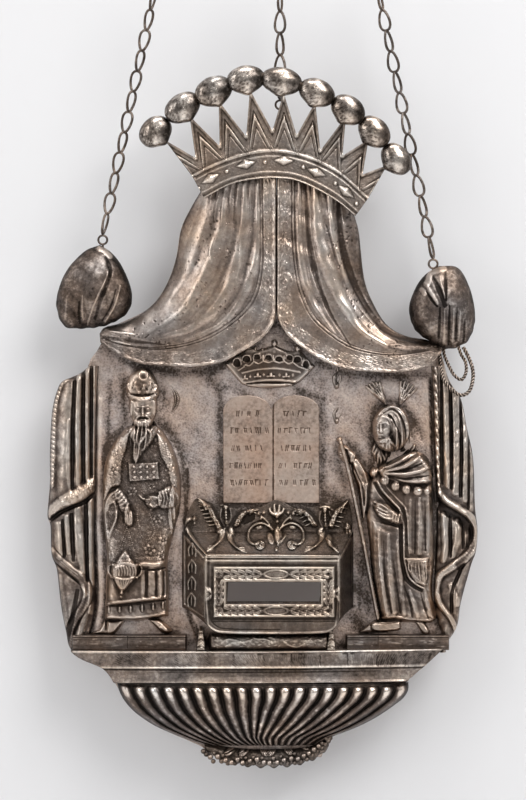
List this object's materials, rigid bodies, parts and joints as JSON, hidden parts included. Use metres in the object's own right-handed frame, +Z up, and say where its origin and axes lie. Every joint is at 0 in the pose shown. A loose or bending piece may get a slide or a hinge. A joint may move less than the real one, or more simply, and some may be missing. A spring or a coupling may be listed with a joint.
{
  "type": "torah shield",
  "caption": "Silver torah shield hung by chains, with a canopy and crown, relief figures, tablets, a name plate box and a gadrooned bowl.",
  "frame": {"origin": "inside top of the middle hanging ring, where a hook holds the shield", "axes": "+Z up along the middle chain, -Y out of the shield's front, +X to the right as seen from the front"},
  "size_m": [0.2342, 0.0251, 0.4337],
  "materials": {
    "worked_silver": "chased and punched silver, toned brown in the recesses, bright on the ridges",
    "draped_silver": "smooth raised silver with an engraved hem and patchy tone",
    "bright_silver": "polished ridges over dark ground",
    "ball_silver": "bright pitted silver with dark specks",
    "tablet_silver": "smooth warm silver",
    "dark_silver": "deeply toned silver",
    "chain_silver": "drawn wire, toned"
  },
  "bodies": {
    "root": {"field_plate": "worked_silver", "canopy": "draped_silver", "crown": "bright_silver", "crown_ball_1": "ball_silver", "crown_ball_2": "ball_silver", "crown_ball_3": "ball_silver", "crown_ball_4": "ball_silver", "crown_ball_5": "ball_silver", "crown_ball_6": "ball_silver", "crown_ball_7": "ball_silver", "crown_ball_8": "ball_silver", "crown_ball_9": "ball_silver", "curtain_knot_left": "dark_silver", "curtain_knot_right": "dark_silver", "rope_loops": "dark_silver", "law_tablets": "tablet_silver", "plate_box": "worked_silver", "ledge": "worked_silver", "gadrooned_bowl": "bright_silver", "berry_garland": "dark_silver", "chain_left": "chain_silver", "chain_middle": "chain_silver", "chain_right": "chain_silver", "hanging_ring_left": "chain_silver", "hanging_ring_middle": "chain_silver", "hanging_ring_right": "chain_silver"}
  },
  "joints": []
}
